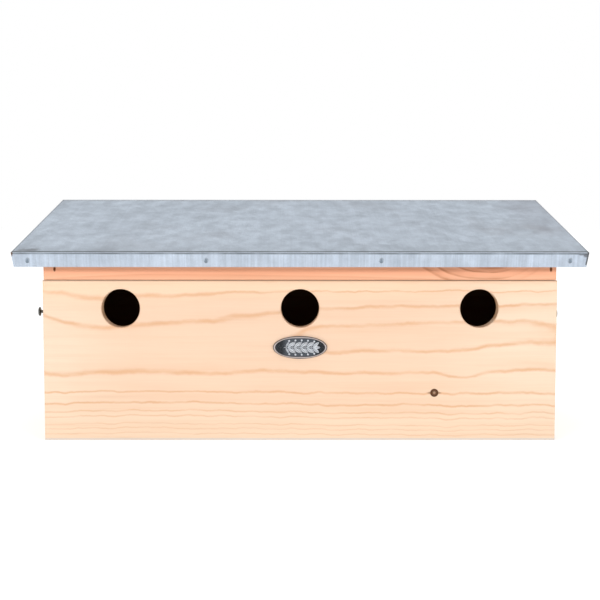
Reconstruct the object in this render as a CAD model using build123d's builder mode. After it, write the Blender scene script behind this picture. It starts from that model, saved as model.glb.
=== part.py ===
"""Sparrow nest box: three rooms side by side under one folded zinc roof.

Millimetres, +Z up, +X to the right, the front faces -Y.
The origin is on the ground below the middle of the whole box, roof included.
"""

from build123d import *
from math import atan, cos, degrees, radians, sin, sqrt, tan
import os

# Roof, measured over the folded sheet
roof_width = 465.0
roof_depth = 207.0
roof_slope = 12.3
fold_height = 158.0
sheet_thickness = 0.7
flange_height = 12.0
flange_lean = 1.6
fold_radius = 1.5
corner_slit = 0.5
corner_relief = 1.1
roof_board_thickness = 11.0
roof_board_clearance = 0.3

# Box
side_overhang = 20.0
front_overhang = 27.0
board_thickness = 12.0
front_board_height = 134.0
front_board_overlap = 1.0
seam = 0.5
eased_edge = 0.8

# Entrance holes
entrance_diameter = 32.0
entrance_inset = 63.5
entrance_height = 110.8
entrance_chamfer = 0.6

# Rooms
partition_thickness = 12.0
partition_gap = 0.3
drain_diameter = 8.0
drain_spread = 50.0

# Cleats that carry the loose front board
cleat_width = 14.0
cleat_depth = 14.0
cleat_height = 112.0
cleat_side_gap = 0.5
cleat_floor_gap = 0.3

# Pan-head screws through the sides into the cleats
screw_diameter = 3.2
screw_length = 26.0
screw_bore_gap = 0.05
screw_head_diameter = 7.6
screw_head_height = 1.4
screw_head_chamfer = 0.7
screw_recess_span = 4.2
screw_recess_width = 1.0
screw_recess_depth = 0.9
screw_setback = 5.5
left_screw_height = 106.6
right_screw_height = 105.2
left_screw_proud = 7.0
right_screw_proud = 3.6

# Machine-driven nails of flat wire, flush in one board and into the next
nail_width = 2.2
nail_thickness = 1.4
nail_length = 26.0
side_nail_inset = 30.0
back_nail_inset = 22.0
partition_nail_inset = 40.0
rail_nail_height = 143.4
left_rail_nail_inset = 9.2
right_rail_nail_inset = 4.5
roof_nail_inset = 40.0

# Nails through the flanges of the roof sheet, with where each strays from its even place
flange_nail_diameter = 1.4
flange_nail_head = 3.6
flange_nail_crown = 0.7
flange_nail_length = 9.0
flange_nail_drop = 7.0
flange_nail_inset = 14.5
flange_nail_strays = (-1.5, -3.2, -7.4, -0.6)
side_flange_nail_inset = 35.0

# Screw holes in the back board for hanging the box on a wall
hanging_hole_diameter = 6.0
hanging_hole_drop = 38.5

# Oval badge
badge_width = 45.0
badge_height = 19.0
badge_thickness = 1.2
badge_rim_width = 1.3
badge_rim_height = 0.6
badge_height_above_ground = 78.2
sprig_length = 27.0
leaf_length = 6.4
leaf_curve = 4.6
leaf_relief = 0.45
leaf_pitch = 5.2
leaf_tilt = 38.0
stem_width = 0.7

# Places that follow from the sizes above
fold_y = -roof_depth / 2
back_y = roof_depth / 2
front_y = fold_y + front_overhang
inner_front_y = front_y + board_thickness
inner_back_y = back_y - board_thickness
half_roof = roof_width / 2
half_body = half_roof - side_overhang
half_inside = half_body - board_thickness
half_front_board = half_body + front_board_overlap
slope_length = roof_depth / cos(radians(roof_slope))
roof_stack = sheet_thickness + roof_board_thickness
flange_pull = flange_lean / flange_height
flange_angle = degrees(atan(flange_pull))
rail_bottom = front_board_height + seam
entrance_x = half_body - entrance_inset
partition_x = entrance_x / 2
middle_y = (inner_front_y + inner_back_y) / 2
roof_plane = Plane(
    origin=(0, fold_y, fold_height),
    x_dir=(1, 0, 0),
    z_dir=(0, -sin(radians(roof_slope)), cos(radians(roof_slope))),
)


def underside(y):
    """Height of the roof board's underside above the point y."""
    rise = (y - fold_y) * tan(radians(roof_slope))
    return fold_height + rise - roof_stack / cos(radians(roof_slope))


def upright(y):
    """An upright plane across the box at y, facing the front."""
    return Plane.XZ.offset(-y)


def lengthwise(x):
    """An upright plane along the depth of the box at x, facing right."""
    return Plane.YZ.offset(x)


def nails(seats, mode=Mode.ADD):
    """A nail at each seat, its head flush with the face and its shank into the wood."""
    with Locations(*seats):
        into = (Align.CENTER, Align.CENTER, Align.MAX)
        Box(nail_width, nail_thickness, nail_length, align=into, mode=mode)


def screw_seat(side, height, proud):
    """The plane under the head of a side screw, facing outwards."""
    seat = (side * (half_body + proud), inner_front_y + screw_setback, height)
    return Plane(origin=seat, x_dir=(0, 1, 0), z_dir=(side, 0, 0))


def screw_shank(seat, proud, gap=0.0, mode=Mode.ADD):
    """The shank of a side screw, or with a gap the bore that it passes through."""
    with Locations(seat):
        into = (Align.CENTER, Align.CENTER, Align.MAX)
        Cylinder(screw_diameter / 2 + gap, screw_length + proud, align=into, mode=mode)


def nail_seat(x, y, z, outward, across):
    """A nail's seat at a point of a face: the face's outward normal, and the head's long way."""
    return Plane(origin=(x, y, z), x_dir=across, z_dir=outward)


# Where the nails go
half_board = board_thickness / 2
back_top = underside(inner_back_y)
side_nail_seats = [
    nail_seat(side * half_body, y, half_board, (side, 0, 0), (0, 1, 0))
    for side in (-1, 1)
    for y in (inner_front_y + side_nail_inset, inner_back_y - side_nail_inset)
]
back_nail_seats = [
    nail_seat(x, back_y, z, (0, 1, 0), (1, 0, 0))
    for x in (-half_body + half_board, half_body - half_board)
    for z in (back_nail_inset, back_top / 2, back_top - back_nail_inset)
] + [
    nail_seat(x, back_y, z, (0, 1, 0), (1, 0, 0))
    for x in (-partition_x, partition_x)
    for z in (partition_nail_inset, back_top - partition_nail_inset)
]
floor_nail_seats = [
    nail_seat(x, y, 0, (0, 0, -1), (1, 0, 0))
    for x in (-partition_x, partition_x)
    for y in (inner_front_y + partition_nail_inset, inner_back_y - partition_nail_inset)
]
rail_nail_seats = [
    nail_seat(x, front_y, rail_nail_height, (0, -1, 0), (0, 0, 1))
    for x in (-half_body + left_rail_nail_inset, half_body - right_rail_nail_inset)
]
roof_nail_seats = [
    roof_plane * Location((side * (half_body - half_board), along, -sheet_thickness))
    for side in (-1, 1)
    for along in (front_overhang + board_thickness + roof_nail_inset, slope_length - roof_nail_inset)
]

# Floor between the sides, with two drain holes in each room
with BuildPart() as floor_board:
    with BuildSketch(Plane.XY):
        with Locations((0, middle_y)):
            Rectangle(2 * half_inside, inner_back_y - inner_front_y)
        for room in (-1, 0, 1):
            with Locations((room * entrance_x, middle_y)):
                with GridLocations(drain_spread, 0, 2, 1):
                    Circle(drain_diameter / 2, mode=Mode.SUBTRACT)
    extrude(amount=board_thickness)
    nails(side_nail_seats, mode=Mode.SUBTRACT)
    nails(floor_nail_seats, mode=Mode.SUBTRACT)
floor_board.part.label = "floor_board"


def side_wall(side, screw_height, proud):
    """One side wall, with its top cut to the slope of the roof."""
    inner_x = side * half_inside
    with BuildPart() as wall:
        with BuildSketch(lengthwise(inner_x)):
            Polygon(
                (inner_front_y, 0),
                (inner_back_y, 0),
                (inner_back_y, underside(inner_back_y)),
                (inner_front_y, underside(inner_front_y)),
                align=None,
            )
        extrude(amount=side * board_thickness)
        seat = screw_seat(side, screw_height, proud)
        screw_shank(seat, proud, gap=2 * screw_bore_gap, mode=Mode.SUBTRACT)
        nails(side_nail_seats, mode=Mode.SUBTRACT)
        nails(back_nail_seats, mode=Mode.SUBTRACT)
        nails(rail_nail_seats, mode=Mode.SUBTRACT)
        nails(roof_nail_seats, mode=Mode.SUBTRACT)
    return wall


left_side = side_wall(-1, left_screw_height, left_screw_proud)
left_side.part.label = "left_side"
right_side = side_wall(1, right_screw_height, right_screw_proud)
right_side.part.label = "right_side"

# Back board, over the ends of the sides, with two holes for wall screws
with BuildPart() as back_board:
    with BuildSketch(lengthwise(-half_body)):
        Polygon(
            (inner_back_y, 0),
            (back_y, 0),
            (back_y, underside(back_y)),
            (inner_back_y, underside(inner_back_y)),
            align=None,
        )
    extrude(amount=2 * half_body)
    with Locations(upright(inner_back_y)):
        hole_height = back_top - hanging_hole_drop
        with Locations((-entrance_x, hole_height), (entrance_x, hole_height)):
            Hole(hanging_hole_diameter / 2, depth=board_thickness)
    chamfer(back_board.faces().sort_by(Axis.Y)[-1].outer_wire().edges(), eased_edge / 2)
    nails(back_nail_seats, mode=Mode.SUBTRACT)
back_board.part.label = "back_board"


def partition(x):
    """One wall between two rooms, up to the roof board."""
    front = inner_front_y + partition_gap
    with BuildPart() as wall:
        with BuildSketch(lengthwise(x - partition_thickness / 2)):
            Polygon(
                (front, board_thickness),
                (inner_back_y, board_thickness),
                (inner_back_y, underside(inner_back_y)),
                (front, underside(front)),
                align=None,
            )
        extrude(amount=partition_thickness)
        nails(back_nail_seats, mode=Mode.SUBTRACT)
        nails(floor_nail_seats, mode=Mode.SUBTRACT)
    return wall


left_partition = partition(-partition_x)
left_partition.part.label = "left_partition"
right_partition = partition(partition_x)
right_partition.part.label = "right_partition"

# Front board with the three entrances, its face edges eased
with BuildPart() as front_board:
    with BuildSketch(upright(front_y)):
        with Locations((0, front_board_height / 2)):
            Rectangle(2 * half_front_board, front_board_height)
    extrude(amount=-board_thickness)
    front_face = front_board.faces().sort_by(Axis.Y)[0]
    chamfer(front_face.edges(), eased_edge / 2)
    with Locations(upright(front_y)):
        with Locations(
            (-entrance_x, entrance_height),
            (0, entrance_height),
            (entrance_x, entrance_height),
        ):
            Hole(entrance_diameter / 2, depth=board_thickness)
    front_face = front_board.faces().sort_by(Axis.Y)[0]
    rims = front_face.edges().filter_by(GeomType.CIRCLE)
    chamfer(rims, entrance_chamfer)
front_board.part.label = "front_board"


def cleat(side, screw_height, proud):
    """The block behind one end of the front board, which the side screw bites into."""
    outer_x = half_inside - cleat_side_gap
    centre_x = side * (outer_x - cleat_width / 2)
    bottom = board_thickness + cleat_floor_gap
    with BuildPart() as block:
        with BuildSketch(upright(inner_front_y)):
            with Locations((centre_x, bottom + cleat_height / 2)):
                Rectangle(cleat_width, cleat_height)
        extrude(amount=-cleat_depth)
        chamfer(block.faces().sort_by(Axis.Y)[-1].edges(), eased_edge)
        screw_shank(screw_seat(side, screw_height, proud), proud, mode=Mode.SUBTRACT)
    return block


left_cleat = cleat(-1, left_screw_height, left_screw_proud)
left_cleat.part.label = "left_cleat"
right_cleat = cleat(1, right_screw_height, right_screw_proud)
right_cleat.part.label = "right_cleat"


def pan_head_screw(side, height, proud):
    """A side screw with a domed head and a cross recess."""
    seat = screw_seat(side, height, proud)
    with BuildPart() as screw:
        screw_shank(seat, proud)
        with BuildSketch(seat):
            Circle(screw_head_diameter / 2)
        extrude(amount=screw_head_height)
        rim = screw.faces().sort_by(Axis.X)[0 if side < 0 else -1].edges()
        chamfer(rim, screw_head_chamfer)
        with BuildSketch(seat.offset(screw_head_height)):
            Rectangle(screw_recess_span, screw_recess_width)
            Rectangle(screw_recess_width, screw_recess_span)
        extrude(amount=-screw_recess_depth, mode=Mode.SUBTRACT)
    return screw


left_screw = pan_head_screw(-1, left_screw_height, left_screw_proud)
left_screw.part.label = "left_screw"
right_screw = pan_head_screw(1, right_screw_height, right_screw_proud)
right_screw.part.label = "right_screw"

# Fixed rail above the front board, its top cut to the roof
with BuildPart() as top_rail:
    with BuildSketch(lengthwise(-half_body)):
        Polygon(
            (front_y, rail_bottom),
            (inner_front_y, rail_bottom),
            (inner_front_y, underside(inner_front_y)),
            (front_y, underside(front_y)),
            align=None,
        )
    extrude(amount=2 * half_body)
    nails(rail_nail_seats, mode=Mode.SUBTRACT)
top_rail.part.label = "top_rail"

# Wooden roof board under the sheet, ripped flush with the back
with BuildPart() as roof_board:
    board_front = sheet_thickness + roof_board_clearance
    board_half = half_roof - sheet_thickness - flange_lean - roof_board_clearance
    with BuildSketch(roof_plane.offset(-sheet_thickness)):
        with Locations((0, (board_front + slope_length) / 2)):
            Rectangle(2 * board_half, slope_length - board_front)
    extrude(amount=-roof_board_thickness)
    with BuildSketch(lengthwise(-roof_width)):
        with Locations((back_y, fold_height)):
            Rectangle(roof_depth, roof_depth, align=(Align.MIN, Align.CENTER))
    extrude(amount=2 * roof_width, mode=Mode.SUBTRACT)
    nails(roof_nail_seats, mode=Mode.SUBTRACT)

# Nails through the folded flanges into the edges of the roof board
def flange_seats():
    """Seats of the flange nails on the outside of the front and side flanges."""
    reach = half_roof - flange_nail_inset
    last = len(flange_nail_strays) - 1
    front = [
        roof_plane
        * Location(
            Plane(
                origin=(reach * (2 * step / last - 1) + stray, 0, -flange_nail_drop),
                x_dir=(1, 0, 0),
                z_dir=(0, -1, 0),
            )
        )
        for step, stray in enumerate(flange_nail_strays)
    ]
    out_x = half_roof - flange_nail_drop * flange_pull
    sides = [
        roof_plane
        * Location(
            Plane(
                origin=(side * out_x, along, -flange_nail_drop),
                x_dir=(0, 1, 0),
                z_dir=(side, 0, -flange_pull),
            )
        )
        for side in (-1, 1)
        for along in (side_flange_nail_inset, slope_length - side_flange_nail_inset)
    ]
    return front + sides


def flange_nail_shanks(mode=Mode.ADD):
    """The eight-sided shanks of the flange nails."""
    with BuildSketch(*[Plane(seat) for seat in flange_seats()]) as sections:
        RegularPolygon(flange_nail_diameter / 2, 8)
    extrude(sections.sketch, amount=-flange_nail_length, mode=mode)


with roof_board:
    flange_nail_shanks(mode=Mode.SUBTRACT)
roof_board.part.label = "roof_board"

# Folded zinc sheet: top, front flange and two side flanges from one blank
half_hem = half_roof - flange_lean
lean_run = sheet_thickness * sqrt(1 + flange_pull**2)
inner_half_top = half_roof - lean_run - sheet_thickness * flange_pull
inner_half_hem = half_hem - lean_run
fold_section = Plane(
    origin=roof_plane.origin,
    x_dir=roof_plane.x_dir,
    z_dir=-roof_plane.y_dir,
)
with BuildPart() as roof_sheet:
    with BuildSketch(fold_section):
        Polygon(
            (-half_roof, 0),
            (half_roof, 0),
            (half_hem, -flange_height),
            (-half_hem, -flange_height),
            align=None,
        )
    extrude(amount=-slope_length)
    crown = roof_sheet.faces().sort_by(Axis.Z)[-1]
    folds = crown.edges().sort_by(Axis.Y)[:-1]
    fillet(folds, fold_radius)
    with BuildSketch(fold_section.offset(-sheet_thickness)):
        Polygon(
            (-inner_half_top, -sheet_thickness),
            (inner_half_top, -sheet_thickness),
            (inner_half_hem, -flange_height),
            (-inner_half_hem, -flange_height),
            align=None,
        )
    extrude(amount=-slope_length, mode=Mode.SUBTRACT)
    slit_start = sheet_thickness + corner_slit / 2
    for side in (-1, 1):
        flange_side = Plane(
            origin=roof_plane.from_local_coords((side * (half_roof + sheet_thickness), 0, 0)),
            x_dir=roof_plane.y_dir,
            z_dir=roof_plane.x_dir,
        )
        with BuildSketch(flange_side):
            with Locations((slit_start, -fold_radius)):
                Circle(corner_relief / 2)
                Rectangle(corner_slit, flange_height, align=(Align.CENTER, Align.MAX))
        extrude(amount=-side * (flange_lean + 3 * sheet_thickness), mode=Mode.SUBTRACT)
    with BuildSketch(lengthwise(-roof_width)):
        with Locations((back_y, fold_height)):
            Rectangle(roof_depth, roof_depth, align=(Align.MIN, Align.CENTER))
    extrude(amount=2 * roof_width, mode=Mode.SUBTRACT)
    flange_nail_shanks(mode=Mode.SUBTRACT)
roof_sheet.part.label = "roof_sheet"

with BuildPart() as flange_nails:
    flange_nail_shanks()
    with Locations(*flange_seats()):
        Cylinder(
            flange_nail_head / 2,
            flange_nail_crown,
            align=(Align.CENTER, Align.CENTER, Align.MIN),
        )
flange_nails.part.label = "flange_nails"

with BuildPart() as side_nails:
    nails(side_nail_seats)
side_nails.part.label = "side_nails"

with BuildPart() as back_nails:
    nails(back_nail_seats)
back_nails.part.label = "back_nails"

with BuildPart() as floor_nails:
    nails(floor_nail_seats)
floor_nails.part.label = "floor_nails"

with BuildPart() as rail_nails:
    nails(rail_nail_seats)
rail_nails.part.label = "rail_nails"

with BuildPart() as roof_nails:
    nails(roof_nail_seats)
roof_nails.part.label = "roof_nails"

# One leaf of the badge, from its foot along X
with BuildSketch() as leaf:
    with BuildLine():
        RadiusArc((0, 0), (leaf_length, 0), leaf_curve)
        RadiusArc((leaf_length, 0), (0, 0), leaf_curve)
    make_face()

# Cast oval badge with a raised rim and a sprig of leaves
with BuildPart() as badge:
    badge_face = upright(front_y)
    with BuildSketch(badge_face):
        with Locations((0, badge_height_above_ground)):
            Ellipse(badge_width / 2, badge_height / 2)
    extrude(amount=badge_thickness)
    with BuildSketch(badge_face.offset(badge_thickness)):
        with Locations((0, badge_height_above_ground)):
            Ellipse(badge_width / 2, badge_height / 2)
            Ellipse(
                badge_width / 2 - badge_rim_width,
                badge_height / 2 - badge_rim_width,
                mode=Mode.SUBTRACT,
            )
    extrude(amount=badge_rim_height)
    with BuildSketch(badge_face.offset(badge_thickness)):
        with Locations((0, badge_height_above_ground)):
            Rectangle(sprig_length, stem_width)
        for step in range(-2, 3):
            for turn in (leaf_tilt, -leaf_tilt):
                foot = (step * leaf_pitch, badge_height_above_ground, 0)
                with Locations(Location(foot, (0, 0, turn))):
                    add(leaf.sketch)
    extrude(amount=leaf_relief)
badge.part.label = "badge"

pieces = [
    roof_sheet,
    roof_board,
    flange_nails,
    roof_nails,
    top_rail,
    rail_nails,
    front_board,
    badge,
    left_cleat,
    right_cleat,
    left_screw,
    right_screw,
    left_side,
    right_side,
    floor_board,
    left_partition,
    right_partition,
    back_board,
    side_nails,
    back_nails,
    floor_nails,
]
os.makedirs("parts", exist_ok=True)
for piece in pieces:
    export_step(piece.part, f"parts/{piece.part.label}.step")
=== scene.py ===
import math

import bpy
import numpy as np
from mathutils import Matrix, Vector


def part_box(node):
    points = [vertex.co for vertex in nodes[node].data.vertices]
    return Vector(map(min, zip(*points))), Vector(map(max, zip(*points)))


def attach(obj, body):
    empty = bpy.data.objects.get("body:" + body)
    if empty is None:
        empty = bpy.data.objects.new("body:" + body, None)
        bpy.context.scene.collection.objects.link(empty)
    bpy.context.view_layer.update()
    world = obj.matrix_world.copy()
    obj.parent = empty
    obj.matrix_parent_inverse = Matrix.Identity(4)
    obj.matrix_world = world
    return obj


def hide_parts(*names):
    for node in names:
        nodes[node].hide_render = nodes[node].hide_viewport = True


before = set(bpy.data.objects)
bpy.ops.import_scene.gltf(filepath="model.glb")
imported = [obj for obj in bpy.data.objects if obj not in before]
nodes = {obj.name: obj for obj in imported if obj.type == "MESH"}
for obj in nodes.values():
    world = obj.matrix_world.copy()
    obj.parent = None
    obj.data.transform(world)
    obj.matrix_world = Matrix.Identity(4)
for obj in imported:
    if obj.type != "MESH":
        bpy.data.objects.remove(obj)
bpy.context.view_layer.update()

# Camera, in the frame of the part: metres and degrees
CAMERA_PLACE = (-0.00306, -0.99705, 0.18858)
CAMERA_PITCH = -4.40
CAMERA_YAW = 0.186
CAMERA_ROLL = 0.04
FOCAL_PIXELS = 1112.2
FRAME_PIXELS = 600
SENSOR_WIDTH = 36.0

# Driving places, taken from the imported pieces
BOARD_LOW, BOARD_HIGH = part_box("front_board")
SHEET_LOW, SHEET_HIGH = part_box("roof_sheet")
FRONT_Y = BOARD_LOW.y
HALF_BODY = BOARD_HIGH.x
HALF_ROOM = -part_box("left_side")[1].x
ROOM_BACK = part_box("back_board")[0].y
FLOOR_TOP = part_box("floor_board")[1].z
# The fold of the front flange, in metres, and how much the flange leans in for each metre down
FOLD_HEIGHT = 0.158
FLANGE_LEAN = 0.133


class Graph:
    """The nodes of one material, with short calls for the ones used here."""

    def __init__(self, name):
        self.material = bpy.data.materials.new(name)
        self.material.use_nodes = True
        self.tree = self.material.node_tree
        self.shader = self.tree.nodes["Principled BSDF"]
        self.place = self.node("ShaderNodeTexCoord").outputs["Object"]
        self.normal = self.node("ShaderNodeNewGeometry").outputs["True Normal"]

    def node(self, kind, **settings):
        made = self.tree.nodes.new(kind)
        for key, value in settings.items():
            setattr(made, key, value)
        return made

    def put(self, socket, value):
        if isinstance(value, bpy.types.NodeSocket):
            self.tree.links.new(value, socket)
        elif socket.type == "RGBA":
            socket.default_value = (*value, 1.0)
        else:
            socket.default_value = value

    def math(self, operation, a, b=0.0, c=0.0):
        made = self.node("ShaderNodeMath", operation=operation)
        for socket, value in zip(made.inputs, (a, b, c)):
            self.put(socket, value)
        return made.outputs[0]

    def add(self, a, b):
        return self.math("ADD", a, b)

    def less(self, a, b):
        return self.math("SUBTRACT", a, b)

    def times(self, a, b):
        return self.math("MULTIPLY", a, b)

    def split(self, vector):
        made = self.node("ShaderNodeSeparateXYZ")
        self.put(made.inputs[0], vector)
        return made.outputs

    def join(self, x, y, z):
        made = self.node("ShaderNodeCombineXYZ")
        for socket, value in zip(made.inputs, (x, y, z)):
            self.put(socket, value)
        return made.outputs[0]

    def millimetres(self):
        return [self.times(part, 1000.0) for part in self.split(self.place)]

    def length(self, *parts):
        """The square root of the sum of the squares of the parts."""
        total = self.times(parts[0], parts[0])
        for part in parts[1:]:
            total = self.add(total, self.times(part, part))
        return self.math("SQRT", total)

    def attribute(self, name):
        return self.node("ShaderNodeAttribute", attribute_name=name).outputs["Fac"]

    def stretch(self, vector, scale):
        made = self.node("ShaderNodeVectorMath", operation="MULTIPLY")
        self.put(made.inputs[0], vector)
        self.put(made.inputs[1], scale)
        return made.outputs[0]

    def noise(self, vector, scale=1.0, detail=2.0, roughness=0.5):
        made = self.node("ShaderNodeTexNoise")
        self.put(made.inputs["Vector"], vector)
        self.put(made.inputs["Scale"], scale)
        self.put(made.inputs["Detail"], detail)
        self.put(made.inputs["Roughness"], roughness)
        return made.outputs["Fac"]

    def span(self, value, low, high, to_low=0.0, to_high=1.0):
        """value from low to high, smoothly onto to_low to to_high, and held there beyond."""
        made = self.node("ShaderNodeMapRange", interpolation_type="SMOOTHSTEP")
        for socket, number in zip(made.inputs, (value, low, high, to_low, to_high)):
            self.put(socket, number)
        return made.outputs[0]

    def band(self, value, low, full, fading, high):
        """0 below low, 1 from full to fading, and 0 again above high."""
        return self.times(self.span(value, low, full), self.span(value, fading, high, 1.0, 0.0))

    def mix(self, factor, a, b, blend="MIX"):
        made = self.node("ShaderNodeMix", data_type="RGBA", blend_type=blend)
        self.put(made.inputs["Factor"], factor)
        self.put(made.inputs[6], a)
        self.put(made.inputs[7], b)
        return made.outputs[2]

    def shade(self, colour, value):
        """colour times a grey value."""
        made = self.node("ShaderNodeVectorMath", operation="SCALE")
        self.put(made.inputs[0], colour)
        self.put(made.inputs["Scale"], value)
        return made.outputs[0]

    def ramp(self, value, stops, ease="LINEAR"):
        made = self.node("ShaderNodeValToRGB")
        made.color_ramp.interpolation = ease
        elements = made.color_ramp.elements
        elements[0].position, elements[1].position = stops[0][0], stops[-1][0]
        for position, _ in stops[1:-1]:
            elements.new(position)
        for element, (_, level) in zip(elements, stops):
            element.color = (level, level, level, 1)
        self.put(made.inputs[0], value)
        return made.outputs[0]

    def curve(self, value, points):
        """A smooth curve through points, whose two numbers both go from 0 to 1."""
        made = self.node("ShaderNodeFloatCurve")
        line = made.mapping.curves[0]
        line.points[0].location, line.points[-1].location = points[0], points[-1]
        for point in points[1:-1]:
            line.points.new(*point)
        made.mapping.update()
        self.put(made.inputs["Value"], value)
        return made.outputs[0]

    def bump(self, height, distance, strength=1.0):
        made = self.node("ShaderNodeBump")
        self.put(made.inputs["Height"], height)
        made.inputs["Distance"].default_value = distance
        made.inputs["Strength"].default_value = strength
        self.put(self.shader.inputs["Normal"], made.outputs[0])

    def finish(self, colour, roughness, metallic=0.0):
        self.put(self.shader.inputs["Base Color"], colour)
        self.put(self.shader.inputs["Roughness"], roughness)
        self.shader.inputs["Metallic"].default_value = metallic
        return self.material


# Pine

EARLY_WOOD = (0.775, 0.575, 0.425)
LATE_WOOD = (0.69, 0.415, 0.235)
END_WOOD = (0.62, 0.41, 0.25)
END_LATE_WOOD = (0.38, 0.21, 0.11)
ROOM_SHADE = (0.42, 0.26, 0.17)
KNOT_BARK = (0.075, 0.024, 0.005)
WOOD_SHINE = 0.22
# How fine the pattern is across the grain, then along it
FIBRES = (1500.0, 22.0)
STREAKS = (130.0, 5.0)
PITH_DRIFT = (9.0, 3.2)
PORES = 1900.0
RING_WIDTH = 0.0052


def grain_scale(along, scales):
    """A stretch for noise: the first scale across the grain, the second along it."""
    across, lengthwise = scales
    stretch = [across, across, across]
    stretch[along] = lengthwise
    return tuple(stretch)


def inside(g):
    """1 on the faces that look into the rooms, 0 outside."""
    x, y, z = g.split(g.place)
    skin = 0.0001
    walls = g.math("LESS_THAN", g.math("ABSOLUTE", x), HALF_ROOM + skin)
    front = g.math("GREATER_THAN", y, BOARD_HIGH.y - skin)
    back = g.math("LESS_THAN", y, ROOM_BACK + skin)
    floor = g.math("GREATER_THAN", z, FLOOR_TOP - skin)
    return g.times(g.times(walls, front), g.times(back, floor))


def wood_finish(g, rings, along, early=EARLY_WOOD, late=LATE_WOOD, depth=0.8, tone=1.0,
                knot=0.0, bark=KNOT_BARK):
    """Turns a pattern of rings, 0 to 1, into planed pine whose fibres run along one axis."""
    fibres = g.noise(g.stretch(g.place, grain_scale(along, FIBRES)), detail=3.0, roughness=0.6)
    streaks = g.noise(g.stretch(g.place, grain_scale(along, STREAKS)), detail=4.0, roughness=0.62)
    clouds = g.noise(g.place, scale=9.0, detail=1.0)
    colour = g.mix(g.times(rings, depth), early, late)
    colour = g.mix(g.span(streaks, 0.4, 0.8, 0.0, 0.28), colour, late)
    colour = g.shade(colour, g.span(fibres, 0.25, 0.75, 0.975, 1.02))
    colour = g.shade(colour, g.span(clouds, 0.3, 0.7, 0.985, 1.01))
    colour = g.shade(colour, tone)
    colour = g.mix(knot, colour, bark)
    # End grain
    end_grain = g.span(g.math("ABSOLUTE", g.split(g.normal)[along]), 0.7, 0.9)
    pores = g.noise(g.place, scale=PORES, detail=2.0)
    end_colour = g.mix(g.times(rings, 0.8), END_WOOD, END_LATE_WOOD)
    end_colour = g.shade(end_colour, g.span(pores, 0.3, 0.7, 0.8, 1.1))
    colour = g.mix(end_grain, colour, end_colour)
    # Painted shade: the faces inside the rooms are darkened
    room_shaded = g.mix(1.0, colour, ROOM_SHADE, "MULTIPLY")
    colour = g.mix(inside(g), colour, room_shaded)
    g.bump(g.add(g.times(rings, 0.5), g.times(fibres, 0.8)), 0.00012, 0.6)
    roughness = g.add(g.span(fibres, 0.3, 0.7, 0.52, 0.62), g.times(end_grain, 0.15))
    g.shader.inputs["Specular IOR Level"].default_value = WOOD_SHINE
    return g.finish(colour, roughness)


def ring_lines(g, radius, width, seed=0.0):
    """Even growth rings of a log from the distance to its pith."""
    turns = g.add(g.math("DIVIDE", radius, width), seed)
    part = g.math("FRACT", turns)
    pick = g.node("ShaderNodeTexWhiteNoise", noise_dimensions="1D")
    g.put(pick.inputs["W"], g.math("FLOOR", turns))
    line = g.ramp(part, ((0.0, 0.0), (0.45, 0.06), (0.8, 0.75), (0.92, 1.0), (1.0, 0.0)), "EASE")
    return g.times(line, g.span(pick.outputs["Value"], 0.0, 1.0, 0.45, 1.0))


def log_radius(g, along, pith, wander):
    """The distance to a pith that wanders a little along one axis."""
    drift = g.noise(g.stretch(g.place, grain_scale(along, PITH_DRIFT)), detail=2.0)
    offset = g.times(g.less(drift, 0.5), 2.6 * wander)
    axes = [axis for axis in (0, 1, 2) if axis != along]
    reach = [g.less(g.split(g.place)[axis], pith[axis]) for axis in axes]
    return g.add(g.length(*reach), offset)


def pine_board(name, along, pith, seed=0.0, wander=0.004):
    """Pine sawn from a log whose pith runs along one axis through the point pith."""
    g = Graph(name)
    radius = log_radius(g, along, pith, wander)
    return wood_finish(g, ring_lines(g, radius, RING_WIDTH, seed), along)


def ring_stops(rings, edge, low, high):
    """The stops of a ramp from low to high that darkens and clears once at each ring."""
    stops = [(0.0, 0.0)]
    for radius, level, width in rings:
        for step, dark in edge:
            stops.append(((radius + step * width - low) / (high - low), level * dark))
    return stops + [(1.0, 0.0)]


# The front board's own figure, measured on its face in millimetres
FIGURE_MIDDLE = 84.0
PITH_DEPTH = 60.0
# Where the middle of the figure runs: x, then z
FIGURE_LINE = (
    (-213.5, 81.3), (-165.8, 76.1), (-126.9, 78.0), (-90.9, 78.2), (-46.8, 81.2),
    (21.4, 84.0), (67.9, 84.6), (123.7, 84.6), (171.9, 86.0), (213.5, 87.2),
)
# How far the rings spread there: x, then square millimetres
FIGURE_SPREAD = (
    (-213.5, 270), (-190.0, 140), (-165.8, 14), (-126.9, 58), (-90.9, 120), (-55.0, 238),
    (-21.9, 270), (21.4, 400), (67.9, 440), (123.7, 480), (171.9, 445), (213.5, 450),
)
# The same two for the innermost ring, whose arch opens to the right
ARCH_LINE = (
    (-213.5, 81.3), (-165.8, 76.1), (-126.9, 78.0), (-90.9, 78.2), (-46.8, 81.2),
    (-7.7, 84.6), (21.4, 84.6), (67.9, 86.1), (134.5, 87.0), (175.0, 90.2), (213.5, 89.3),
)
ARCH_SPREAD = (
    (-213.5, 270), (-190.0, 140), (-165.8, 14), (-126.9, 58), (-90.9, 110), (-55.0, 160), (-25.0, 205),
    (-12.0, 240), (-4.0, 278), (21.4, 398), (67.9, 405), (125.0, 426), (175.0, 375), (213.5, 322),
)
LINE_LOW, LINE_HIGH = 70.0, 95.0
SPREAD_HIGH = 600.0
# Radius of each ring, how dark its late wood is, and how wide
FIGURE_RINGS = (
    (57.7, 1.0, 0.6), (62.9, 1.0, 1.3), (72.9, 1.0, 1.3), (79.4, 1.0, 1.2), (84.0, 0.75, 1.0),
    (87.1, 0.65, 0.9), (91.9, 0.6, 0.8), (94.8, 0.6, 0.7), (98.2, 0.6, 0.7),
)
# How a ring darkens and clears across its width
FIGURE_EDGE = ((-1.0, 0.1), (-0.15, 1.0), (0.7, 0.0))
RING_FIRST, RING_LAST = 54.0, 100.0
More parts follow.
